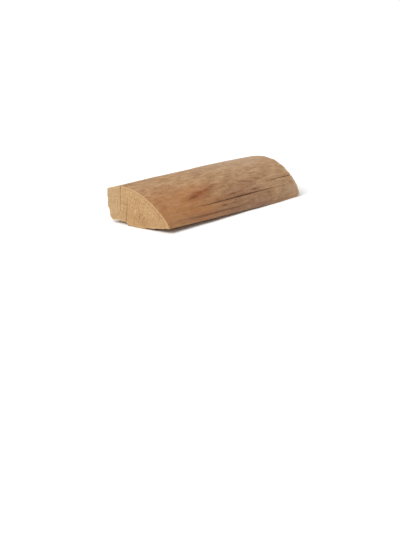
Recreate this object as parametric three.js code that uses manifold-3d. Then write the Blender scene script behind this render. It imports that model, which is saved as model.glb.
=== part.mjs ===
// A split firewood log: a slab off the side of a small trunk, bark gone, both ends sawn square.
// It lies along X on its split underside. The thin toe edge points to -Y, the other split face to +Y.
// Splits and drying checks run straight towards the pith of the trunk, which lies below the log, so one
// map gives every point of the wood from three numbers that each go from 0 to 1:
//   along   from the near sawn end to the far sawn end
//   turn    round the trunk, from the toe edge over the crown to the radial split face
//   inward  from the rounded outer face towards the pith, as far as the split underside
import * as THREE from "three";
import { ParametricGeometry } from "three/addons/geometries/ParametricGeometry.js";
import { mergeGeometries, mergeVertices } from "three/addons/utils/BufferGeometryUtils.js";
import Module from "manifold-3d";

// Driving dimensions, in millimetres and degrees
const LENGTH = 250;
const WIDTH = 95;
const FAR_TOE_IN = 2.2;
const FAR_BACK_IN = 3.3;
const TOE_LIFT = 6;
const CORNER_LIFT = 3.4;
const SETTLED_AT = 0.85;
const TOE_WANDER = [
  { size: 0.4, waves: 2.3, phase: 0 },
  { size: 0.25, waves: 5.7, phase: 0 },
];

// The outer face in section: its toe and back edges, the way it leaves each, and the pith it grew round
const NEAR_END = {
  toeY: -WIDTH / 2,
  toeAngle: 61,
  toeHandle: 15.9,
  backY: WIDTH / 2,
  backZ: 39.2,
  backAngle: -22.8,
  backHandle: 48.8,
  pithY: 28.5,
  pithZ: -50,
};
const FAR_END = {
  toeY: -WIDTH / 2 + FAR_TOE_IN,
  toeAngle: 88,
  toeHandle: 21.3,
  backY: WIDTH / 2 - FAR_BACK_IN,
  backZ: 36.9,
  backAngle: -22.5,
  backHandle: 57.8,
  pithY: 31.5,
  pithZ: -52,
};

// Outer face: growth swells, flutes along the grain, the healed branch scar and the torn strip at the toe
const SWELLS = [
  { size: 0.45, alongWaves: 1.3, roundWaves: 0.9, phase: 0.15 },
  { size: 0.32, alongWaves: 2.1, roundWaves: -1.7, phase: 0.4 },
];
const BACK_EDGE_CALM = 0.6;
const FLUTE = 0.16;
const FLUTES_ROUND = 7;
const FLUTE_DRIFT = [{ size: 0.35, waves: 0.7, phase: 0.2 }];
const SCAR = { along: 0.31, turn: 0.395, slant: 0.46, length: 0.11, breadth: 0.05, rise: 1.6, dent: 1.1 };
const STRIP = { turn: 0.106, edge: 0.025, start: 0.03, end: 0.55, fade: 0.06, depth: 1.2 };

// Underside: the belly that carries the near end, the hollow of the far end, and the torn steps
const BELLY = { centre: 0.62, toeSide: 0.44, backSide: 0.115, drop: 6.4 };
const BELLY_FADE = { start: 0.1, end: 0.8 };
const FAR_HOLLOW = 5.6;
const FAR_SEAT = 1;
const UNDER_STEPS = 4.3;
const UNDER_DRIFT = [
  { size: 0.22, waves: 0.55, phase: 0.1 },
  { size: 0.06, waves: 1.7, phase: 0.6 },
];
const UNDER_TEAR = { near: 0.35, full: 1.4, fullFrom: 0.3 };
const EDGE_FADE = 0.12;

// Radial split face: its waist along the length, the rise of its top edge between the ends, how far its foot
// leans out, its bulge in height, the torn steps and the blunt corner
const BACK_WAIST = { size: 6.2, power: 0.65 };
const BACK_RISE = 3;
const BACK_LEAN = 2.2;
const BACK_BULGE = 1.4;
const BACK_STEPS = 2.6;
const BACK_DRIFT = [
  { size: 0.18, waves: 0.6, phase: 0.35 },
  { size: 0.05, waves: 2.2, phase: 0.1 },
];
const BACK_TEAR = 1.3;
const BACK_REACH = 0.8;
const CORNER_BLUNT = { y: 1.2, z: 0.5, inward: 0.9, turn: 0.95 };
const TEAR_AT = 0.78;

// Cells of the surface along the log, round the trunk and towards the pith
const CELLS_ALONG = 36;
const CELLS_ROUND = 40;
const CELLS_INWARD = 12;

// Drying checks in the sawn ends: the widest place, how far they run towards the pith, opening and depth
const END_CHECKS = [
  { along: 0, turn: 0.843, inward: 0, reach: 0.5, opening: 1.6, depth: 26 },
  { along: 0, turn: 0.733, inward: 1, reach: 0.5, opening: 2.6, depth: 20 },
  { along: 0, turn: 0.508, inward: 0.66, reach: 0.22, opening: 1, depth: 9 },
  { along: 1, turn: 0.365, inward: 0, reach: 0.6, opening: 1.1, depth: 20 },
  { along: 1, turn: 0.74, inward: 0.5, reach: 0.32, opening: 1.4, depth: 16 },
];
// Drying checks in the outer face: the widest place, how far they run along the log, opening and depth
const FACE_CHECKS = [
  { along: 0.585, turn: 0.247, reach: 0.32, opening: 2, depth: 9 },
  { along: 1, turn: 0.365, reach: 0.23, opening: 1.1, depth: 12 },
  { along: 0, turn: 0.843, reach: 0.06, opening: 1, depth: 12 },
];
const CUT_START = 1.5;

const WOOD_COLOUR = "#b58e68";
const WOOD_ROUGHNESS = 0.82;

const { lerp, clamp, smoothstep, degToRad } = THREE.MathUtils;

/** A sine of the given number of whole turns. */
function wave(turns) {
  return Math.sin(2 * Math.PI * turns);
}

/** A sum of sine waves along the log. */
function wander(parts, along) {
  return parts.reduce((sum, { size, waves, phase }) => sum + size * wave(waves * along + phase), 0);
}

/** A bell curve of height 1 that falls to 1/e at its reach. */
function bell(offset, reach) {
  return Math.exp(-((offset / reach) ** 2));
}

/** A saw-tooth from 0 to 1: a slow rise and a steep fall, as a bundle of fibres lifts and then tears off. */
function tornStep(place) {
  const part = place - Math.floor(place);
  return part < TEAR_AT ? part / TEAR_AT : (1 - part) / (1 - TEAR_AT);
}

/** The section at one place along the log: the two end sections blended, with the edges' own wander. */
function sectionAt(along) {
  const section = {};
  for (const key of Object.keys(NEAR_END)) {
    section[key] = lerp(NEAR_END[key], FAR_END[key], along);
  }
  const lifted = Math.max(0, 1 - along / SETTLED_AT);
  section.toeZ = TOE_LIFT * lifted;
  section.cornerZ = CORNER_LIFT * lifted;
  section.toeY += wander(TOE_WANDER, along);
  section.backY -= BACK_WAIST.size * Math.sin(Math.PI * along ** BACK_WAIST.power);
  section.backZ += BACK_RISE * Math.sin(Math.PI * along);
  return section;
}

/** How far the outer face stands proud of its smooth section, in millimetres. */
function outerRelief(along, turn) {
  let swell = 0;
  for (const { size, alongWaves, roundWaves, phase } of SWELLS) {
    swell += size * wave(alongWaves * along + roundWaves * turn + phase) * (1 - BACK_EDGE_CALM * turn);
  }
  const flute = FLUTE * wave(FLUTES_ROUND * turn + wander(FLUTE_DRIFT, along));
  const run = along - SCAR.along;
  const side = turn - SCAR.turn - SCAR.slant * run;
  const scar = SCAR.rise * bell(run, SCAR.length) * bell(side, SCAR.breadth)
    - SCAR.dent * bell(run, SCAR.length / 2) * bell(side, SCAR.breadth / 3);
  const below = 1 - smoothstep(turn, STRIP.turn - STRIP.edge, STRIP.turn + STRIP.edge);
  const stretch = smoothstep(along, STRIP.start, STRIP.start + STRIP.fade)
    * (1 - smoothstep(along, STRIP.end - STRIP.fade, STRIP.end));
  const fromToe = smoothstep(turn, 0, STRIP.turn);
  return (swell + flute + scar) * fromToe - STRIP.depth * below * stretch * fromToe;
}

/**
 * The height of the split underside. Near one end the belly bears on the ground, and at the other end
 * the hollow leaves a flat strip beside each edge, so the log rests on three low places round its weight.
 */
function undersideHeight(section, along, across) {
  const middle = Math.sin(Math.PI * across) ** 2;
  const sideReach = across < BELLY.centre ? BELLY.toeSide : BELLY.backSide;
  const belly = -BELLY.drop * bell(across - BELLY.centre, sideReach);
  const hollow = FAR_HOLLOW * middle - FAR_SEAT;
  const form = lerp(belly, hollow, smoothstep(along, BELLY_FADE.start, BELLY_FADE.end));
  const tear = lerp(UNDER_TEAR.near, UNDER_TEAR.full, smoothstep(along, 0, UNDER_TEAR.fullFrom));
  const torn = tear * tornStep(UNDER_STEPS * across + wander(UNDER_DRIFT, along)) * middle;
  const inside = smoothstep(across, 0, EDGE_FADE) * (1 - smoothstep(across, 1 - EDGE_FADE, 1));
  return Math.max(0, lerp(section.toeZ, section.cornerZ, across) + (form + torn) * inside);
}

/** How far the radial split face stands out from the straight line between its edges. */
function backRelief(along, inward) {
  const torn = BACK_TEAR * (tornStep(BACK_STEPS * inward + wander(BACK_DRIFT, along)) - 0.5);
  return (BACK_BULGE + torn) * Math.sin(Math.PI * inward) + BACK_LEAN * inward;
}

/** A vector in the section, given by its length and its slope in degrees. */
function handle(length, slope) {
  return new THREE.Vector2(Math.cos(degToRad(slope)), Math.sin(degToRad(slope))).multiplyScalar(length);
}

/** A point of the outer face in the section: a curve from toe to back edge, with its relief along the ray. */
function outerPoint(section, along, turn) {
  const toe = new THREE.Vector2(section.toeY, section.toeZ);
  const back = new THREE.Vector2(section.backY, section.backZ);
  const leaveToe = handle(section.toeHandle, section.toeAngle).add(toe);
  const reachBack = handle(-section.backHandle, section.backAngle).add(back);
  const point = new THREE.CubicBezierCurve(toe, leaveToe, reachBack, back).getPoint(turn);
  const ray = new THREE.Vector2(point.x - section.pithY, point.y - section.pithZ).normalize();
  return point.addScaledVector(ray, outerRelief(along, turn));
}

/** One point of the wood: on the straight ray from the outer face to the pith, as far as the underside. */
function woodPoint(along, turn, inward, target) {
  const section = sectionAt(along);
  const { pithY, pithZ, toeY, toeZ, backY, backZ, cornerZ } = section;
  const outer = outerPoint(section, along, turn);
  const rayY = (z) => lerp(pithY, outer.x, (z - pithZ) / (outer.y - pithZ));

  const cornerY = lerp(pithY, backY, (cornerZ - pithZ) / (backZ - pithZ));
  const across = clamp((rayY(lerp(toeZ, cornerZ, turn)) - toeY) / (cornerY - toeY), 0, 1);
  const underZ = undersideHeight(section, along, across);

  const nearBack = smoothstep(turn, BACK_REACH, 1);
  const blunt = smoothstep(inward, CORNER_BLUNT.inward, 1) * smoothstep(turn, CORNER_BLUNT.turn, 1);
  const standing = backRelief(along, inward) * nearBack;
  const x = (along - 0.5) * LENGTH;
  const y = lerp(outer.x, rayY(underZ), inward) + standing - CORNER_BLUNT.y * blunt;
  const z = lerp(outer.y, underZ, inward) + CORNER_BLUNT.z * blunt;
  return target.set(x, y, z);
}

const outerFace = new ParametricGeometry((u, v, p) => woodPoint(u, v, 0, p), CELLS_ALONG, CELLS_ROUND);
const underside = new ParametricGeometry((u, v, p) => woodPoint(v, u, 1, p), CELLS_ROUND, CELLS_ALONG);
const splitFace = new ParametricGeometry((u, v, p) => woodPoint(u, 1, v, p), CELLS_ALONG, CELLS_INWARD);
const nearSawnEnd = new ParametricGeometry((u, v, p) => woodPoint(0, u, v, p), CELLS_ROUND, CELLS_INWARD);
const farSawnEnd = new ParametricGeometry((u, v, p) => woodPoint(1, v, u, p), CELLS_INWARD, CELLS_ROUND);

const wasm = await Module();
wasm.setup();

/** A closed geometry as a solid: its vertices are shared, and triangles that shrank to a line are left out. */
function toSolid(geometry) {
  geometry.deleteAttribute("normal");
  geometry.deleteAttribute("uv");
  const shared = mergeVertices(geometry);
  const corners = shared.index.array;
  const triangles = [];
  for (let i = 0; i < corners.length; i += 3) {
    const [a, b, c] = corners.subarray(i, i + 3);
    if (a !== b && b !== c && c !== a) {
      triangles.push(a, b, c);
    }
  }
  const mesh = new wasm.Mesh({
    numProp: 3,
    vertProperties: new Float32Array(shared.attributes.position.array),
    triVerts: new Uint32Array(triangles),
  });
  return new wasm.Manifold(mesh);
}

/** A drying check: a thin four-sided wedge, widest at its mouth, with its point deep in the wood. */
function checkWedge(mouth, alongMouth, depth, opening) {
  const inward = depth.clone().multiplyScalar(1 + CUT_START / depth.length());
  const start = mouth.clone().addScaledVector(depth.clone().normalize(), -CUT_START);
  const across = new THREE.Vector3().crossVectors(inward, alongMouth).setLength(opening / 2);
  const placed = new THREE.Matrix4().makeBasis(across, inward, alongMouth).setPosition(start);
  const wedge = new THREE.ConeGeometry(1, 1, 4).translate(0, 0.5, 0).applyMatrix4(placed);
  return toSolid(wedge);
}

const at = (along, turn, inward) => woodPoint(along, turn, inward, new THREE.Vector3());

let log = toSolid(mergeGeometries([outerFace, underside, splitFace, nearSawnEnd, farSawnEnd]));

for (const { along, turn, inward, reach, opening, depth } of END_CHECKS) {
  const alongMouth = at(along, turn, 1).sub(at(along, turn, 0)).multiplyScalar(reach);
  const intoEnd = new THREE.Vector3(along === 0 ? depth : -depth, 0, 0);
  log = log.subtract(checkWedge(at(along, turn, inward), alongMouth, intoEnd, opening));
}

for (const { along, turn, reach, opening, depth } of FACE_CHECKS) {
  const alongMouth = new THREE.Vector3(reach * LENGTH, 0, 0);
  const mouth = at(along, turn, 0);
  const toPith = at(along, turn, 1).sub(mouth).setLength(depth);
  log = log.subtract(checkWedge(mouth, alongMouth, toPith, opening));
}

const cut = log.getMesh();
const geometry = new THREE.BufferGeometry();
geometry.setAttribute("position", new THREE.BufferAttribute(cut.vertProperties, 3));
geometry.setIndex(new THREE.BufferAttribute(cut.triVerts, 1));
geometry.computeVertexNormals();

const wood = new THREE.MeshStandardMaterial({ color: WOOD_COLOUR, roughness: WOOD_ROUGHNESS, metalness: 0 });
const mesh = new THREE.Mesh(geometry, wood);
mesh.name = "log";

const firewood = new THREE.Group();
firewood.add(mesh);

export default firewood;
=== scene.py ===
"""A split firewood log: air-dried alder, bark gone, two sawn ends, two split faces and one rounded face."""

import bpy
import numpy as np
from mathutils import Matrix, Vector


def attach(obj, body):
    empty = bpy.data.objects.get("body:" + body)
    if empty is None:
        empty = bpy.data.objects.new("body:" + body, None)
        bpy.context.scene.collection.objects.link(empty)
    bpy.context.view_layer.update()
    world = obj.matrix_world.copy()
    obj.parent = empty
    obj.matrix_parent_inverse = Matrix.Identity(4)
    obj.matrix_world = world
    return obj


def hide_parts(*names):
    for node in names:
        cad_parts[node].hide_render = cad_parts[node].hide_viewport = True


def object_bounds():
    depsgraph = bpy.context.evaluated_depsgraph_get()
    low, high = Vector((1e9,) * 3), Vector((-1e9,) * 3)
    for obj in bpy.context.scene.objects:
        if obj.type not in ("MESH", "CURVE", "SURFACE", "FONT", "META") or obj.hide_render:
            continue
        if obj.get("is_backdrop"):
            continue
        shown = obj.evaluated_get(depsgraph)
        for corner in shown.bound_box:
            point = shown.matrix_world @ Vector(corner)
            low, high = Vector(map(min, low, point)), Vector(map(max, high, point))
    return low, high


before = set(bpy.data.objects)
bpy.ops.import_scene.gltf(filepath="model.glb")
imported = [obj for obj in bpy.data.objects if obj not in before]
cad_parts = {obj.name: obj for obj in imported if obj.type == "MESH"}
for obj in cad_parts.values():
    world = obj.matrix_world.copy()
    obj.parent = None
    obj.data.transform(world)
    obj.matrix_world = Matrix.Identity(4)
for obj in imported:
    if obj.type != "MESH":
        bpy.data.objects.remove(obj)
cad_low, cad_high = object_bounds()


# The log's wood
# One slab of an alder trunk, split off beside the pith and dried until it checked. It is one piece: the
# outer face is the bare wood under the bark, the ends are sawn, the underside and the back are split.

MM = 0.001
LENGTH = (cad_high.x - cad_low.x) / MM
WIDTH = 95.0
FAR_TOE_IN = 2.2
FAR_BACK_IN = 3.3
TOE_LIFT = 6.0
CORNER_LIFT = 3.4
SETTLED_AT = 0.85
TOE_WANDER = [(0.4, 2.3, 0.0), (0.25, 5.7, 0.0)]

NEAR_END = dict(
    toe_y=-WIDTH / 2, toe_angle=61.0, toe_handle=15.9,
    back_y=WIDTH / 2, back_z=39.2, back_angle=-22.8, back_handle=48.8,
    pith_y=28.5, pith_z=-50.0,
)
FAR_END = dict(
    toe_y=-WIDTH / 2 + FAR_TOE_IN, toe_angle=88.0, toe_handle=21.3,
    back_y=WIDTH / 2 - FAR_BACK_IN, back_z=36.9, back_angle=-22.5, back_handle=57.8,
    pith_y=31.5, pith_z=-52.0,
)

SWELLS = [(0.45, 1.3, 0.9, 0.15), (0.32, 2.1, -1.7, 0.4)]
BACK_EDGE_CALM = 0.6
FLUTE = 0.16
FLUTES_ROUND = 7
FLUTE_DRIFT = [(0.35, 0.7, 0.2)]
# Fibres, plateaus, splinters and chips: height, steps along the log, steps across the face and a seed
FIBRES = [(0.16, 7, 30, 1), (0.11, 13, 75, 2), (0.09, 21, 150, 3)]
SCAR = dict(along=0.31, turn=0.395, slant=0.46, length=0.11, breadth=0.05, rise=1.6, dent=1.1)
STRIP = dict(turn=0.106, edge=0.008, start=0.03, end=0.62, fade=0.25, depth=1.1)

BELLY = dict(centre=0.62, toe_side=0.44, back_side=0.115, drop=6.4)
BELLY_FADE = (0.1, 0.8)
FAR_HOLLOW = 5.6
FAR_SEAT = 1.0
UNDER_STEPS = 4.3
UNDER_DRIFT = [(0.22, 0.55, 0.1), (0.06, 1.7, 0.6)]
UNDER_TEAR = dict(near=0.35, full=1.4, full_from=0.3)
# Fine steps: height, steps across the face, the steps of their drift along and across, and a seed
UNDER_FINE_STEPS = [(0.34, 17, 3, 7, 11), (0.2, 47, 6, 17, 12)]
UNDER_PLATEAUS = [(0.45, 4, 15, 13)]
UNDER_SPLINTERS = [(0.6, 3, 24, 16), (0.3, 7, 60, 17)]
EDGE_FADE = 0.12
RIM_CHIP = dict(depth=1.3, reach=0.012)
RIM_CHIPS = [(0.6, 5, 26, 14), (0.4, 9, 60, 15)]

BACK_WAIST = dict(size=6.2, power=0.65)
BACK_RISE = 3.0
BACK_LEAN = 2.2
BACK_BULGE = 1.4
BACK_STEPS = 2.6
BACK_DRIFT = [(0.18, 0.6, 0.35), (0.05, 2.2, 0.1)]
BACK_TEAR = 1.3
BACK_FINE_STEPS = [(0.5, 11, 3, 5, 21), (0.3, 29, 6, 11, 22)]
BACK_PLATEAUS = [(0.5, 4, 9, 23)]
BACK_SPLINTERS = [(0.8, 3, 9, 24), (0.5, 7, 21, 25)]
BACK_SUNK = 0.5
BACK_REACH = 0.8
BACK_CHIPS = [(0.9, 24, 6, 26)]
BACK_CHIP_REACH = 0.1
CORNER_BLUNT = dict(y=1.2, z=0.5, inward=0.9, turn=0.95)
FAR_TOE_WORN = dict(size=4.0, reach=0.035, fade=0.06)
TEAR_AT = 0.78
STEP_DRIFT = 0.9
PLATEAU = dict(level=0.15, slope=0.12)
ROUGH_TABLE = 256

# Drying checks: where they are widest, how far they run from there, their opening and depth in millimetres
END_CHECKS = [
    dict(end=0, turn=0.843, inward=0.0, reach=0.42, opening=0.75, depth=18.0),
    dict(end=0, turn=0.843, inward=0.4, reach=0.3, opening=0.35, depth=3.0),
    dict(end=0, turn=0.733, inward=1.0, reach=0.7, opening=1.2, depth=18.0),
    dict(end=0, turn=0.508, inward=0.66, reach=0.24, opening=0.8, depth=8.0),
    dict(end=0, turn=0.438, inward=0.67, reach=0.16, opening=0.65, depth=5.0),
    dict(end=1, turn=0.365, inward=0.0, reach=0.6, opening=1.1, depth=20.0),
    dict(end=1, turn=0.74, inward=0.5, reach=0.32, opening=1.4, depth=16.0),
]
FACE_CHECKS = [
    dict(along=0.55, turn=0.247, reach=0.34, opening=1.5, depth=4.5),
    dict(along=0.6, turn=0.247, reach=0.4, opening=4.5, depth=1.1),
    dict(along=1.0, turn=0.365, reach=0.23, opening=1.2, depth=12.0),
]
CHECK_WANDER = dict(size=0.5, along=9, inward=7, apart=3, seed=31)
ROUND_LENGTH = 110.0
CHECK_PULL = 0.03
CHECK_FADE = 0.3

CELLS_ALONG = 120
CELLS_ROUND = 240
CELLS_INWARD = 56
END_PACKING = dict(reach=0.01, extra=3.0)
CHECK_PACKING = dict(reach=0.008, extra=2.5)
PACKING_SAMPLES = 8001
SHARP_ANGLE = np.radians(50)


def smooth(start, end, x):
    """A rise from 0 at start to 1 at end, level at both."""
    part = np.clip((x - start) / (end - start), 0, 1)
    return part * part * (3 - 2 * part)


def blend(a, b, share):
    """a where share is 0, b where it is 1, in proportion between."""
    return a + (b - a) * share


def bell(offset, reach):
    """A bell curve of height 1 that falls to 1/e at its reach."""
    return np.exp(-((offset / reach) ** 2))


def wave(turns):
    """A sine of the given number of whole turns."""
    return np.sin(2 * np.pi * turns)


def wander(parts, along):
    """A sum of sine waves along the log, each given as size, number of waves and phase."""
    return sum(size * wave(waves * along + phase) for size, waves, phase in parts)


def torn_step(place):
    """A saw-tooth from 0 to 1: a slow rise and a steep fall, as fibres lift and then tear off."""
    part = place % 1
    return np.where(part < TEAR_AT, part / TEAR_AT, (1 - part) / (1 - TEAR_AT))


def rough(u, v, seed):
    """Random heights from -1 to 1, one for each whole step of u and v, blended smoothly between them."""
    table = np.random.default_rng(seed).uniform(-1, 1, (ROUGH_TABLE, ROUGH_TABLE))
    u0 = np.floor(u).astype(int)
    v0 = np.floor(v).astype(int)
    du = smooth(0, 1, u - u0)
    dv = smooth(0, 1, v - v0)
    corner = [
        [table[(u0 + i) % ROUGH_TABLE, (v0 + j) % ROUGH_TABLE] for j in (0, 1)]
        for i in (0, 1)
    ]
    return blend(blend(*corner[0], dv), blend(*corner[1], dv), du)


def splinters(u, v, seed):
    """Heights from 0 to 1 with sharp crests where the random heights pass through 0."""
    return (1 - np.abs(rough(u, v, seed))) ** 3


def plateaus(u, v, seed):
    """Heights of 0 and 1 with short slopes between them: random heights cut off at a level."""
    return smooth(0, PLATEAU["slope"], rough(u, v, seed) - PLATEAU["level"])


def layers(form, rows, along, across):
    """A sum of one random form at several sizes, each row a height, steps along, steps across and a seed."""
    return sum(height * form(along * long, across * wide, seed) for height, long, wide, seed in rows)


def fine_steps(rows, along, across):
    """A sum of small torn steps side by side across a face, each set shifted by random heights."""
    return sum(
        height * torn_step(steps * across + STEP_DRIFT * rough(along * long, across * wide, seed))
        for height, steps, long, wide, seed in rows
    )


def section_at(along):
    """The section at each place along the log: the two end sections blended, with the edges' own wander."""
    section = {key: blend(NEAR_END[key], FAR_END[key], along) for key in NEAR_END}
    lifted = np.maximum(0, 1 - along / SETTLED_AT)
    section["toe_z"] = TOE_LIFT * lifted
    section["corner_z"] = CORNER_LIFT * lifted
    section["toe_y"] = section["toe_y"] + wander(TOE_WANDER, along)
    section["back_y"] = section["back_y"] - BACK_WAIST["size"] * np.sin(np.pi * along ** BACK_WAIST["power"])
    section["back_z"] = section["back_z"] + BACK_RISE * np.sin(np.pi * along)
    return section


def check_depth(checks, across, run, gap):
    """The deepest of several wedges: depth falls off evenly to the sides of a check and to its two tips."""
    depth = 0.0
    for check in checks:
        side = np.abs(across(check)) * ROUND_LENGTH / (check["opening"] / 2)
        depth = np.maximum(depth, check["depth"] * np.clip(1 - side - np.abs(run(check)) / gap(check), 0, 1))
    return depth


def outer_relief(along, turn):
    """How far the outer face stands proud: the sum of swells, flutes, fibres and the branch scar, less the
    torn strip, and nothing at the toe edge."""
    swell = sum(
        size * wave(along_waves * along + round_waves * turn + phase)
        for size, along_waves, round_waves, phase in SWELLS
    ) * (1 - BACK_EDGE_CALM * turn)
    flute = FLUTE * wave(FLUTES_ROUND * turn + wander(FLUTE_DRIFT, along))
    run = along - SCAR["along"]
    side = turn - SCAR["turn"] - SCAR["slant"] * run
    scar = SCAR["rise"] * bell(run, SCAR["length"]) * bell(side, SCAR["breadth"])
    scar = scar - SCAR["dent"] * bell(run, SCAR["length"] / 2) * bell(side, SCAR["breadth"] / 3)
    fibres = layers(rough, FIBRES, along, turn)
    below = 1 - smooth(STRIP["turn"] - STRIP["edge"], STRIP["turn"] + STRIP["edge"], turn)
    stretch = smooth(STRIP["start"], STRIP["start"] + STRIP["fade"], along)
    stretch = stretch * (1 - smooth(STRIP["end"] - STRIP["fade"], STRIP["end"], along))
    from_toe = smooth(0, STRIP["turn"], turn)
    return (swell + flute + scar + fibres - STRIP["depth"] * below * stretch) * from_toe


def underside_height(section, along, across):
    """The split underside: a belly that bears near one end, a hollow between two seats at the other, and
    torn steps of fibres over both, never below the ground."""
    middle = np.sin(np.pi * across) ** 2
    side_reach = np.where(across < BELLY["centre"], BELLY["toe_side"], BELLY["back_side"])
    belly = -BELLY["drop"] * bell(across - BELLY["centre"], side_reach)
    hollow = FAR_HOLLOW * middle - FAR_SEAT
    form = blend(belly, hollow, smooth(*BELLY_FADE, along))
    tear = blend(UNDER_TEAR["near"], UNDER_TEAR["full"], smooth(0, UNDER_TEAR["full_from"], along))
    torn = torn_step(UNDER_STEPS * across + wander(UNDER_DRIFT, along))
    torn = torn + fine_steps(UNDER_FINE_STEPS, along, across)
    torn = torn + layers(plateaus, UNDER_PLATEAUS, along, across)
    torn = torn - layers(splinters, UNDER_SPLINTERS, along, across)
    at_rim = bell(along, RIM_CHIP["reach"]) + bell(1 - along, RIM_CHIP["reach"])
    chips = RIM_CHIP["depth"] * layers(splinters, RIM_CHIPS, along, across)
    inside = smooth(0, EDGE_FADE, across) * (1 - smooth(1 - EDGE_FADE, 1, across))
    level = blend(section["toe_z"], section["corner_z"], across)
    height = np.maximum(0, level + (form + tear * torn * middle) * inside)
    return height + chips * at_rim * inside


def back_relief(along, inward):
    """How far the radial split face stands out from the line between its edges: a bulge and torn steps,
    less the chips along both edges."""
    torn = BACK_TEAR * (torn_step(BACK_STEPS * inward + wander(BACK_DRIFT, along)) - 0.5)
    torn = torn + fine_steps(BACK_FINE_STEPS, along, inward)
    torn = torn + layers(plateaus, BACK_PLATEAUS, along, inward)
    torn = torn + layers(splinters, BACK_SPLINTERS, along, inward) - BACK_SUNK
    at_edge = bell(inward, BACK_CHIP_REACH) + bell(1 - inward, BACK_CHIP_REACH)
    chips = layers(splinters, BACK_CHIPS, along, inward) * at_edge * np.sin(np.pi * along)
    return (BACK_BULGE + torn) * np.sin(np.pi * inward) + BACK_LEAN * inward - chips


def wood_point(along, turn, inward):
    """Points of the wood in millimetres: each lies on the straight ray from the outer face to the pith, as
    far in as the underside. Checks bend their rays a little and push the surface in along them, and the far
    end of the toe edge is worn short."""
    section = section_at(along)
    every_turn = {check["turn"] for check in END_CHECKS + FACE_CHECKS}
    bent = turn
    for number, centre in enumerate(sorted(every_turn)):
        place_along = along * CHECK_WANDER["along"] + CHECK_WANDER["apart"] * number
        place_inward = inward * CHECK_WANDER["inward"]
        drift = rough(place_along, place_inward, CHECK_WANDER["seed"]) * CHECK_WANDER["size"] / ROUND_LENGTH
        bent = bent + drift * bell(turn - centre, CHECK_PULL)

    toe_angle = np.radians(section["toe_angle"])
    back_angle = np.radians(section["back_angle"])
    b0, b1, b2, b3 = (1 - bent) ** 3, 3 * (1 - bent) ** 2 * bent, 3 * (1 - bent) * bent**2, bent**3
    outer_y = (b0 + b1) * section["toe_y"] + b1 * section["toe_handle"] * np.cos(toe_angle)
    outer_z = (b0 + b1) * section["toe_z"] + b1 * section["toe_handle"] * np.sin(toe_angle)
    outer_y = outer_y + (b2 + b3) * section["back_y"] - b2 * section["back_handle"] * np.cos(back_angle)
    outer_z = outer_z + (b2 + b3) * section["back_z"] - b2 * section["back_handle"] * np.sin(back_angle)

    ray_y = outer_y - section["pith_y"]
    ray_z = outer_z - section["pith_z"]
    radius = np.hypot(ray_y, ray_z)
    split = check_depth(
        FACE_CHECKS,
        lambda check: turn - check["turn"],
        lambda check: along - check["along"],
        lambda check: check["reach"],
    )
    rise = (outer_relief(along, bent) - split * (1 - inward)) / radius
    outer_y = outer_y + rise * ray_y
    outer_z = outer_z + rise * ray_z

    def ray_at(z):
        share = (z - section["pith_z"]) / (outer_z - section["pith_z"])
        return blend(section["pith_y"], outer_y, share)

    corner = (section["corner_z"] - section["pith_z"]) / (section["back_z"] - section["pith_z"])
    corner_y = blend(section["pith_y"], section["back_y"], corner)
    level_y = ray_at(blend(section["toe_z"], section["corner_z"], bent))
    across = np.clip((level_y - section["toe_y"]) / (corner_y - section["toe_y"]), 0, 1)
    under_z = underside_height(section, along, across)

    near_back = smooth(BACK_REACH, 1, turn)
    blunt = smooth(CORNER_BLUNT["inward"], 1, inward) * smooth(CORNER_BLUNT["turn"], 1, turn)
    y = blend(outer_y, ray_at(under_z), inward) + back_relief(along, inward) * near_back
    y = y - CORNER_BLUNT["y"] * blunt
    z = blend(outer_z, under_z, inward) + CORNER_BLUNT["z"] * blunt

    ends = []
    for end in (0, 1):
        ends.append(check_depth(
            [check for check in END_CHECKS if check["end"] == end],
            lambda check: turn - check["turn"],
            lambda check: inward - check["inward"],
            lambda check: check["reach"],
        ))
    x = (along - 0.5) * LENGTH + ends[0] * (1 - smooth(0, CHECK_FADE, along))
    x = x - ends[1] * smooth(1 - CHECK_FADE, 1, along)
    worn = FAR_TOE_WORN["size"] * bell(turn, FAR_TOE_WORN["reach"])
    x = x - worn * smooth(1 - FAR_TOE_WORN["fade"], 1, along)
    return x, y, z, section


def packed(count, centres, reach, extra):
    """Values from 0 to 1, closer together near the centres: even steps through the sum of a flat density and
    a bell at each centre."""
    fine = np.linspace(0, 1, PACKING_SAMPLES)
    density = 1 + extra * sum(bell(fine - centre, reach) for centre in centres)
    total = np.concatenate([[0], np.cumsum((density[1:] + density[:-1]) / 2)])
    return np.interp(np.linspace(0, total[-1], count + 1), total, fine)


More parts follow.
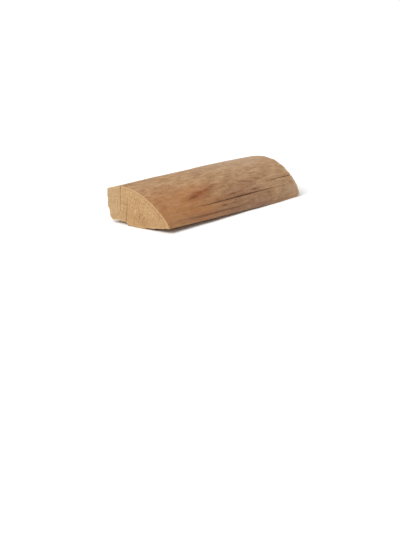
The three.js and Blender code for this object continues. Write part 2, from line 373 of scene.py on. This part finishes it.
def skin_of_block(counts):
    """Numbers the outside grid points of a block of cells and joins them into quads, face by face, with the
    first row of its second side drawn together into one edge. Gives the grid places, the quads and triangles,
    and for each of them the face it is on: 0 for the two ends, 1 for the outside, 2 for the split faces."""
    i, j, k = np.meshgrid(*[np.arange(n + 1) for n in counts], indexing="ij")
    outside = (i == 0) | (i == counts[0]) | (j == counts[1]) | (k == 0) | (k == counts[2])
    outside &= (j > 0) | (k == 0)
    number = np.full(outside.shape, -1)
    number[outside] = np.arange(outside.sum())
    number[:, 0, :] = number[:, 0, :1]
    sheets = [
        (number[0], 0), (number[-1].T, 0), (number[:, :, 0], 1),
        (number[:, :, -1].T, 2), (number[:, -1, :], 2),
    ]
    quads = []
    for sheet, face in sheets:
        corners = [sheet[:-1, :-1], sheet[1:, :-1], sheet[1:, 1:], sheet[:-1, 1:]]
        rows = np.stack([corner.ravel() for corner in corners], 1)
        quads.append(np.column_stack([rows, np.full(len(rows), face)]))
    quads = np.concatenate(quads)
    pinched = quads[:, 0] == quads[:, 3]
    level = quads[:, 0] == quads[:, 1]
    triangles = np.concatenate([quads[pinched][:, [0, 1, 2, 4]], quads[level][:, [0, 2, 3, 4]]])
    whole = quads[~(pinched | level)]
    return (i[outside], j[outside], k[outside]), whole, triangles


places, quads, triangles = skin_of_block((CELLS_ALONG, CELLS_ROUND, CELLS_INWARD))
check_turns = [check["turn"] for check in END_CHECKS + FACE_CHECKS] + [STRIP["turn"]]
along = packed(CELLS_ALONG, (0.0, 1.0), **END_PACKING)[places[0]]
turn = packed(CELLS_ROUND, sorted(set(check_turns)), **CHECK_PACKING)[places[1]]
inward = np.linspace(0, 1, CELLS_INWARD + 1)[places[2]]
x, y, z, section = wood_point(along, turn, inward)

log_mesh = bpy.data.meshes.new("log_wood")
log_mesh.from_pydata(
    (np.column_stack([x, y, z]) * MM).tolist(), [], quads[:, :4].tolist() + triangles[:, :3].tolist()
)
face_kinds = np.concatenate([quads[:, 4], triangles[:, 3]])
log_mesh.polygons.foreach_set("material_index", face_kinds.astype(np.int32))
log_mesh.polygons.foreach_set("use_smooth", np.ones(len(log_mesh.polygons), bool))
log_mesh.set_sharp_from_angle(angle=SHARP_ANGLE)

# Dark marks on the outer face: place, half length and half breadth in millimetres, slant, strength
MARKS = [
    (0.816, 0.594, 8.0, 1.1, 0.0, 0.35),
    (0.546, 0.496, 8.0, 1.3, 0.0, 0.55),
    (0.652, 0.422, 9.0, 1.3, -0.2, 0.9),
    (0.674, 0.292, 7.0, 1.5, 0.0, 0.9),
    (0.506, 0.364, 8.0, 2.0, 0.0, 0.5),
    (0.522, 0.302, 8.0, 1.4, 0.0, 0.7),
    (0.424, 0.176, 6.0, 1.9, 0.0, 0.8),
    (0.500, 0.170, 7.0, 1.4, 0.0, 0.5),
    (0.245, 0.383, 7.0, 2.0, 0.2, 0.85),
    (0.405, 0.458, 7.0, 2.0, 0.2, 0.7),
]


def mark_strength(marks):
    """The strongest of several marks, each a bell along the grain times a bell across it."""
    strength = 0.0
    for mark_along, mark_turn, length, breadth, slant, most in marks:
        run = (along - mark_along) * LENGTH
        side = (turn - mark_turn) * ROUND_LENGTH - slant * run
        strength = np.maximum(strength, most * bell(run, length) * bell(side, breadth))
    return strength


def store(name, columns):
    """Keeps three numbers for each point of the log's mesh under a name that a material can read."""
    kept = log_mesh.attributes.new(name, "FLOAT_VECTOR", "POINT")
    kept.data.foreach_set("vector", np.column_stack(columns).astype(np.float32).ravel())


# Where each point lies in the tree: along the grain, round the pith and out from it, in millimetres. The way
# round is measured at one radius, so that a streak keeps its angle on its way in to the pith.
GRAIN_RADIUS = WIDTH / np.sqrt(2)
pith_y = y - section["pith_y"]
pith_z = z - section["pith_z"]
store("tree", (x, np.arctan2(pith_y, pith_z) * GRAIN_RADIUS, np.hypot(pith_y, pith_z)))
store("place", (along, turn, inward))

# Stains and painted shade of the outer face: the branch scar and its tail, painted shade along the torn
# strip's edge and the long check, and painted shade low down towards the toe. A scar's row is its place, half
# length, half breadth and strength.
SCAR_STAINS = [(0.29, 0.404, 0.064, 0.052, 1.0), (0.36, 0.43, 0.055, 0.036, 0.85)]
SCAR_STAIN_SLANT = 0.35
# Painted shade along the torn strip's edge and along the long check
STRIP_EDGE_SHADE = dict(turn=STRIP["turn"], breadth=0.009, rise=(0.0, 0.4), fall=(0.5, 0.68), strength=0.6)
CHECK_SHADE = dict(turn=0.247, breadth=0.012, rise=(0.2, 0.4), fall=(0.6, 0.95), strength=0.55)
LOW_PAINTED_SHADE = dict(turn=(0.03, 0.24), rise=(0.0, 0.3), fall=(0.7, 0.95), fall_by=0.8)


def painted_shade_line(line):
    """A line of painted shade along the grain: a bell across it, which rises from nothing along the log and
    falls again.
    """
    stretch = smooth(*line["rise"], along) * (1 - smooth(*line["fall"], along))
    return line["strength"] * bell(turn - line["turn"], line["breadth"]) * stretch


scar = 0.0
for scar_along, scar_turn, length, breadth, most in SCAR_STAINS:
    run = along - scar_along
    side = turn - scar_turn - SCAR_STAIN_SLANT * run
    scar = np.maximum(scar, most * bell(run, length) * bell(side, breadth))
strip_and_check_shade = np.maximum(painted_shade_line(STRIP_EDGE_SHADE), painted_shade_line(CHECK_SHADE))
# Painted shade low down on the outer face towards the toe, with less of it towards the far end
low = (1 - smooth(*LOW_PAINTED_SHADE["turn"], turn)) * smooth(*LOW_PAINTED_SHADE["rise"], along)
low = low * (1 - LOW_PAINTED_SHADE["fall_by"] * smooth(*LOW_PAINTED_SHADE["fall"], along))
store("stains_and_shade", (scar, np.maximum(mark_strength(MARKS), strip_and_check_shade), low))

# Broad tones of the outer face: orange towards the near end, brown round the long check and grey high up, and
# a painted highlight in the same pale grey low down at the far end. A brown patch's row is its place, half
# length, half breadth and strength.
ORANGE = dict(along=(0.2, 0.65), turn=(0.38, 0.72), fall_by=0.9)
BROWN_PATCHES = [(0.57, 0.25, 0.17, 0.12, 1.0), (0.66, 0.42, 0.1, 0.07, 0.45)]
GREY_HIGH = dict(turn=(0.5, 0.95), along=(0.2, 0.9))
FAR_LOW_HIGHLIGHT = dict(along=(0.82, 1.0), turn=0.17, breadth=0.1, strength=0.9)

orange = (1 - smooth(*ORANGE["along"], along)) * (1 - ORANGE["fall_by"] * smooth(*ORANGE["turn"], turn))
brown = 0.0
for patch_along, patch_turn, length, breadth, most in BROWN_PATCHES:
    brown = brown + most * bell(along - patch_along, length) * bell(turn - patch_turn, breadth)
# A painted highlight low down at the far end
far_low_highlight = smooth(*FAR_LOW_HIGHLIGHT["along"], along) * bell(turn - FAR_LOW_HIGHLIGHT["turn"], FAR_LOW_HIGHLIGHT["breadth"])
grey_and_highlight = smooth(*GREY_HIGH["turn"], turn) * smooth(*GREY_HIGH["along"], along)
grey_and_highlight = grey_and_highlight + FAR_LOW_HIGHLIGHT["strength"] * far_low_highlight
store("tones_and_highlight", (orange, brown, grey_and_highlight))


def linear(colour):
    """An sRGB colour such as #a58362 as the linear values that a shader takes."""
    parts = [int(colour[start:start + 2], 16) / 255 for start in (1, 3, 5)]
    return [part / 12.92 if part <= 0.04045 else ((part + 0.055) / 1.055) ** 2.4 for part in parts] + [1.0]


def add(tree, kind, inputs, out=0, stops=(), **settings):
    """Adds a node to a material's tree and gives one of its outputs. Each input, by name or number, is a
    value, a colour such as #a58362 or the output that feeds it. A ramp's stops are a place and a colour."""
    made = tree.nodes.new("ShaderNode" + kind)
    for name, value in settings.items():
        setattr(made, name, value)
    for name, value in inputs.items():
        if isinstance(value, bpy.types.NodeSocket):
            tree.links.new(value, made.inputs[name])
        else:
            made.inputs[name].default_value = linear(value) if isinstance(value, str) else value
    for number, (place, colour) in enumerate(stops):
        if number < 2:
            made.color_ramp.elements[number].position = place
        else:
            made.color_ramp.elements.new(place)
    for number, (place, colour) in enumerate(stops):
        made.color_ramp.elements[number].color = linear(colour)
    return made.outputs[out] if len(made.outputs) else made


def pattern(tree, size, detail, place=None):
    """Random light and dark from 0 to 1, its blotches as long as size along the grain, round the trunk and
    out from the pith, in millimetres, or along the axes of another place."""
    place = place or add(tree, "Attribute", {}, out=1, attribute_name="tree")
    place = add(tree, "VectorMath", {0: place, 1: size}, operation="DIVIDE")
    return add(tree, "TexNoise", {"Vector": place, "Scale": 1.0, "Detail": detail, "Roughness": 0.6})


def new_material(name):
    """An empty material with only its output."""
    material = bpy.data.materials.new(name)
    material.use_nodes = True
    material.node_tree.nodes.remove(material.node_tree.nodes["Principled BSDF"])
    log_mesh.materials.append(material)
    return material.node_tree


def finish_material(tree, colour, roughness, normal):
    """Joins a colour, a roughness and a bumped normal to the tree's output."""
    surface = add(tree, "BsdfPrincipled", {
        "Base Color": colour, "Roughness": roughness, "Normal": normal, "Specular IOR Level": 0.25,
    })
    tree.links.new(surface, tree.nodes["Material Output"].inputs["Surface"])


# Sawn alder end grain: pale straw and matt, with faint rings, rays out from the pith and pores. Real rays and
# pores are well under a millimetre across, too fine to show, so they are drawn at about a millimetre.
tree = new_material("alder_sawn_end")
rings = pattern(tree, (60, 70, 3.2), 2)
rays = pattern(tree, (60, 0.9, 16), 3)
grain = add(tree, "Mix", {0: 0.6, 2: rings, 3: rays}, out=0, data_type="FLOAT")
metres = add(tree, "TexCoord", {}, out=3)
pores = pattern(tree, (0.002, 0.0014, 0.0014), 3, metres)
grain = add(tree, "Mix", {0: 0.48, 2: grain, 3: pores}, out=0, data_type="FLOAT")
colour = add(tree, "ValToRGB", {0: grain}, stops=[(0.37, "#8b6942"), (0.5, "#a38159"), (0.63, "#b99a72")])
place = add(tree, "Attribute", {}, out=1, attribute_name="place")
turn_place = add(tree, "SeparateXYZ", {0: place}, out=1)
upper = add(tree, "MapRange", {0: turn_place, 1: 0.75, 2: 1.0, 3: 0.0, 4: 0.35})
colour = add(tree, "Mix", {0: upper, 6: colour, 7: "#a89478"}, out=2, data_type="RGBA")
inward_place = add(tree, "SeparateXYZ", {0: place}, out=2)
# Painted highlights: a pale line along the rim next to the outer face, and a paler band along the foot by the
# underside
rim_highlight = add(tree, "MapRange", {0: inward_place, 1: 0.0, 2: 0.04, 3: 0.7, 4: 0.0})
colour = add(tree, "Mix", {0: rim_highlight, 6: colour, 7: "#bfa07c"}, out=2, data_type="RGBA")
foot_highlight = add(tree, "MapRange", {0: inward_place, 1: 0.93, 2: 1.0, 3: 0.0, 4: 0.7})
colour = add(tree, "Mix", {0: foot_highlight, 6: colour, 7: "#bb9a6f"}, out=2, data_type="RGBA")
end_normal = add(tree, "Bump", {"Strength": 0.5, "Distance": 0.0004, "Height": pores})
roughness = add(tree, "MapRange", {0: pores, 1: 0.3, 2: 0.7, 3: 0.92, 4: 0.78})
finish_material(tree, colour, roughness, end_normal)

# Bare outer wood from under the bark: tan, streaked along the grain, browner and greyer in broad patches. Its
# fibres are finer than a hair, so they are drawn half a millimetre to a millimetre thick to show.
tree = new_material("alder_debarked")
streaks = pattern(tree, (15, 2.2, 2.2), 5)
blotches = pattern(tree, (12, 6, 6), 5)
mixed = add(tree, "Mix", {0: 0.45, 2: streaks, 3: blotches}, out=0, data_type="FLOAT")
colour = add(tree, "ValToRGB", {0: mixed}, stops=[
    (0.32, "#825f42"), (0.44, "#9b7857"), (0.55, "#a88663"), (0.68, "#b79878"),
])
fibres = pattern(tree, (5, 1.1, 1.1), 3)
colour = add(tree, "Mix", {0: 0.45, 6: colour, 7: fibres}, out=2, data_type="RGBA", blend_type="SOFT_LIGHT")
threads = pattern(tree, (30, 0.5, 0.5), 3)
colour = add(tree, "Mix", {0: 0.6, 6: colour, 7: threads}, out=2, data_type="RGBA", blend_type="SOFT_LIGHT")
tones_and_highlight = add(tree, "Attribute", {}, out=1, attribute_name="tones_and_highlight")
orange = add(tree, "SeparateXYZ", {0: tones_and_highlight}, out=0)
brown = add(tree, "SeparateXYZ", {0: tones_and_highlight}, out=1)
grey_and_highlight = add(tree, "SeparateXYZ", {0: tones_and_highlight}, out=2)
orange = add(tree, "Math", {0: orange, 1: pattern(tree, (50, 10, 10), 3)}, operation="MULTIPLY")
colour = add(tree, "Mix", {0: orange, 6: colour, 7: "#a0632c"}, out=2, data_type="RGBA")
brown = add(tree, "Math", {0: brown, 1: pattern(tree, (30, 5, 5), 3)}, operation="MULTIPLY")
colour = add(tree, "Mix", {0: brown, 6: colour, 7: "#744433"}, out=2, data_type="RGBA")
# Grey high up, together with a painted highlight in the same grey low down at the far end
grey_and_highlight = add(tree, "Math", {0: grey_and_highlight, 1: pattern(tree, (40, 9, 9), 3)}, operation="MULTIPLY")
colour = add(tree, "Mix", {0: grey_and_highlight, 6: colour, 7: "#b39b85"}, out=2, data_type="RGBA")
stains_and_shade = add(tree, "Attribute", {}, out=1, attribute_name="stains_and_shade")
scar = add(tree, "SeparateXYZ", {0: stains_and_shade}, out=0)
marks_and_crack_shade = add(tree, "SeparateXYZ", {0: stains_and_shade}, out=1)
low = add(tree, "SeparateXYZ", {0: stains_and_shade}, out=2)
# Painted shade low down towards the toe, broken up by a pattern
low = add(tree, "Math", {0: low, 1: pattern(tree, (30, 3, 3), 3)}, operation="MULTIPLY")
colour = add(tree, "Mix", {0: low, 6: colour, 7: "#7a5748"}, out=2, data_type="RGBA")
torn = add(tree, "MapRange", {0: pattern(tree, (14, 2, 2), 3), 1: 0.3, 2: 0.6, 3: 0.5, 4: 1.0})
scar = add(tree, "Math", {0: scar, 1: torn}, operation="MULTIPLY")
colour = add(tree, "Mix", {0: scar, 6: colour, 7: "#803e1e"}, out=2, data_type="RGBA")
# Real dark marks, together with painted shade along the torn strip's edge and the long check
marks_and_crack_shade = add(tree, "Math", {0: marks_and_crack_shade, 1: torn}, operation="MULTIPLY")
colour = add(tree, "Mix", {0: marks_and_crack_shade, 6: colour, 7: "#5e3820"}, out=2, data_type="RGBA")
place = add(tree, "Attribute", {}, out=1, attribute_name="place")
along_place = add(tree, "SeparateXYZ", {0: place}, out=0)
# A painted highlight along the far rim of the outer face
far_rim_highlight = add(tree, "MapRange", {0: along_place, 1: 0.985, 2: 1.0, 3: 0.0, 4: 0.6})
colour = add(tree, "Mix", {0: far_rim_highlight, 6: colour, 7: "#c6ad90"}, out=2, data_type="RGBA")
outer_normal = add(tree, "Bump", {"Strength": 0.5, "Distance": 0.0005, "Height": threads})
roughness = add(tree, "MapRange", {0: fibres, 1: 0.3, 2: 0.7, 3: 0.86, 4: 0.64})
finish_material(tree, colour, roughness, outer_normal)

# Split alder: the torn faces along the grain, warmer than the sawn ends, with long streaks and strong fibres
tree = new_material("alder_split")
streaks = pattern(tree, (45, 1.8, 1.8), 4)
colour = add(tree, "ValToRGB", {0: streaks}, stops=[
    (0.3, "#7f5737"), (0.45, "#9c7149"), (0.57, "#ab8459"), (0.72, "#bd9b74"),
])
fibres = pattern(tree, (12, 0.6, 0.6), 2)
colour = add(tree, "Mix", {0: 0.5, 6: colour, 7: fibres}, out=2, data_type="RGBA", blend_type="SOFT_LIGHT")
split_normal = add(tree, "Bump", {"Strength": 0.6, "Distance": 0.0005, "Height": fibres})
roughness = add(tree, "MapRange", {0: fibres, 1: 0.3, 2: 0.7, 3: 0.9, 4: 0.7})
finish_material(tree, colour, roughness, split_normal)

log_wood = bpy.data.objects.new("log_wood", log_mesh)
bpy.context.scene.collection.objects.link(log_wood)
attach(log_wood, "root")
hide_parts("log")


# Torn fibres
# Slivers of the same alder that the axe lifted but did not tear off. Each is thin, lies along the grain, and
# is still rooted in the back face, the underside or the lower rim of the near end.

SLIVER_STEPS = 10
SLIVER_SUNK = 0.35
SLIVER_TAPER = dict(tip=1.03, power=0.7)
SLIVER_SEED = 7
# Each kind's ranges: where its roots lie, its sizes in millimetres, how far it lifts, and which way it points
SLIVER_KINDS = [
    dict(
        count=46, along=(0.03, 0.75), turn=(1.0, 1.0), inward=(0.08, 0.92), length=(18, 65),
        breadth=(1.0, 3.4), thick=(0.4, 0.9), lift=(0.5, 2.6), out=(0, 1, -0.1), side=(0, 0, 1), way=1,
    ),
    dict(
        count=44, along=(0.35, 0.8), turn=(0.25, 0.85), inward=(1.0, 1.0), length=(18, 48),
        breadth=(1.0, 3.2), thick=(0.4, 0.9), lift=(0.4, 2.2), out=(0, 0, -1), side=(0, 1, 0), way=1,
    ),
    dict(
        count=44, along=(0.004, 0.008), turn=(0.2, 0.97), inward=(1.0, 1.0), length=(1.8, 3.2),
        breadth=(0.5, 1.1), thick=(0.3, 0.6), lift=(-0.1, 0.2), out=(0, 0, -1), side=(0, 1, 0), way=-1,
    ),
]


def sliver_points(kind, draw):
    """A row of slivers: each follows the wood's surface along the grain from its root, is sunk there, lifts
    off with the square of the way to its tip and narrows. Four corners make each of its sections."""
    root = {key: draw.uniform(*kind[key], (kind["count"], 1)) for key in (
        "along", "turn", "inward", "length", "breadth", "thick", "lift",
    )}
    way = np.linspace(0, 1, SLIVER_STEPS + 1)[None, :]
    run = np.clip(root["along"] + kind["way"] * way * root["length"] / LENGTH, 0, 1)
    over = kind["way"] * (root["along"] * LENGTH + kind["way"] * way * root["length"] - run * LENGTH)
    path = np.stack(wood_point(run, root["turn"] + 0 * way, root["inward"] + 0 * way)[:3], -1)
    path[..., 0] += kind["way"] * over
    out = np.array(kind["out"], float)
    side = np.array(kind["side"], float)
    lift = root["lift"] * way**2 - SLIVER_SUNK * (1 - way)
    taper = (SLIVER_TAPER["tip"] - way) ** SLIVER_TAPER["power"]
    centre = path + lift[..., None] * out
    centre[..., 2] = np.maximum(centre[..., 2], root["thick"])
    corners = [(1, 0), (0, -kind["way"]), (-1, 0), (0, kind["way"])]
    half_breadth = (root["breadth"] / 2 * taper)[..., None] * side
    half_thick = (root["thick"] / 2 * taper)[..., None] * out
    rings = [centre + a * half_breadth + b * half_thick for a, b in corners]
    return np.stack(rings, 2)


def sliver_faces(count, steps, first):
    """Quads round each sliver from root to tip, and one quad over each end."""
    start = first + np.arange(count)[:, None, None] * (steps + 1) * 4
    ring = start + np.arange(steps)[None, :, None] * 4
    corner = np.arange(4)[None, None, :]
    after = (corner + 1) % 4
    sides = np.stack([ring + corner, ring + after, ring + 4 + after, ring + 4 + corner], -1)
    root_cap = start[:, 0, :] + np.array([[3, 2, 1, 0]])
    tip_cap = start[:, 0, :] + steps * 4 + np.array([[0, 1, 2, 3]])
    return np.concatenate([sides.reshape(-1, 4), root_cap, tip_cap])


draw = np.random.default_rng(SLIVER_SEED)
sliver_sets = [sliver_points(kind, draw).reshape(-1, 3) for kind in SLIVER_KINDS]
firsts = np.cumsum([0] + [len(points) for points in sliver_sets])
sliver_quads = [
    sliver_faces(kind["count"], SLIVER_STEPS, first) for kind, first in zip(SLIVER_KINDS, firsts)
]
sliver_xyz = np.concatenate(sliver_sets)
sliver_mesh = bpy.data.meshes.new("torn_fibres")
sliver_mesh.from_pydata((sliver_xyz * MM).tolist(), [], np.concatenate(sliver_quads).tolist())
sliver_kept = sliver_mesh.attributes.new("tree", "FLOAT_VECTOR", "POINT")
sliver_kept.data.foreach_set("vector", sliver_xyz.astype(np.float32).ravel())
sliver_mesh.materials.append(bpy.data.materials["alder_split"])
torn_fibres = bpy.data.objects.new("torn_fibres", sliver_mesh)
bpy.context.scene.collection.objects.link(torn_fibres)
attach(torn_fibres, "root")


# Floor, light and camera
# A plain white floor under soft studio light from the upper left, with the camera at the viewing angle of
# the photo. Only the log is part of the object.

FLOOR_SIZE = 60.0
FLOOR_DROP = 0.0001
SKY = 0.6
KEY_FROM = Vector((-0.7, 0.05, 0.71))
KEY_STRENGTH = 3.0
KEY_ANGLE = np.radians(50)
CAMERA_PLACE = Vector((-1.1417, -0.9447, 0.3517))
CAMERA_AZIMUTH = np.radians(-50)
CAMERA_ELEVATION = np.radians(16)
CAMERA_LENS = 85.0

floor_mesh = bpy.data.meshes.new("floor")
half = FLOOR_SIZE / 2
corners = [(-half, -half), (half, -half), (half, half), (-half, half)]
floor_mesh.from_pydata([(x, y, -FLOOR_DROP) for x, y in corners], [], [(0, 1, 2, 3)])
paper = bpy.data.materials.new("white_paper")
paper.use_nodes = True
paper.node_tree.nodes["Principled BSDF"].inputs["Base Color"].default_value = linear("#f4f4f4")
paper.node_tree.nodes["Principled BSDF"].inputs["Roughness"].default_value = 0.9
floor_mesh.materials.append(paper)
floor = bpy.data.objects.new("floor", floor_mesh)
bpy.context.scene.collection.objects.link(floor)
floor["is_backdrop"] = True

world = bpy.data.worlds.new("studio")
bpy.context.scene.world = world
world.use_nodes = True
world.node_tree.nodes["Background"].inputs["Color"].default_value = (1, 1, 1, 1)
world.node_tree.nodes["Background"].inputs["Strength"].default_value = SKY

key = bpy.data.lights.new("key", "SUN")
key.energy = KEY_STRENGTH
key.angle = KEY_ANGLE
key_object = bpy.data.objects.new("key", key)
key_object.rotation_mode = "QUATERNION"
key_object.rotation_quaternion = (-KEY_FROM).to_track_quat("-Z", "Y")
bpy.context.scene.collection.objects.link(key_object)

camera = bpy.data.cameras.new("camera")
camera.lens = CAMERA_LENS
camera_object = bpy.data.objects.new("camera", camera)
camera_object.location = CAMERA_PLACE
back = Vector((
    np.sin(CAMERA_AZIMUTH) * np.cos(CAMERA_ELEVATION),
    -np.cos(CAMERA_AZIMUTH) * np.cos(CAMERA_ELEVATION),
    np.sin(CAMERA_ELEVATION),
))
camera_object.rotation_mode = "QUATERNION"
camera_object.rotation_quaternion = (-back).to_track_quat("-Z", "Y")
bpy.context.scene.collection.objects.link(camera_object)
bpy.context.scene.camera = camera_object
bpy.context.scene.view_settings.view_transform = "Standard"

low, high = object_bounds()
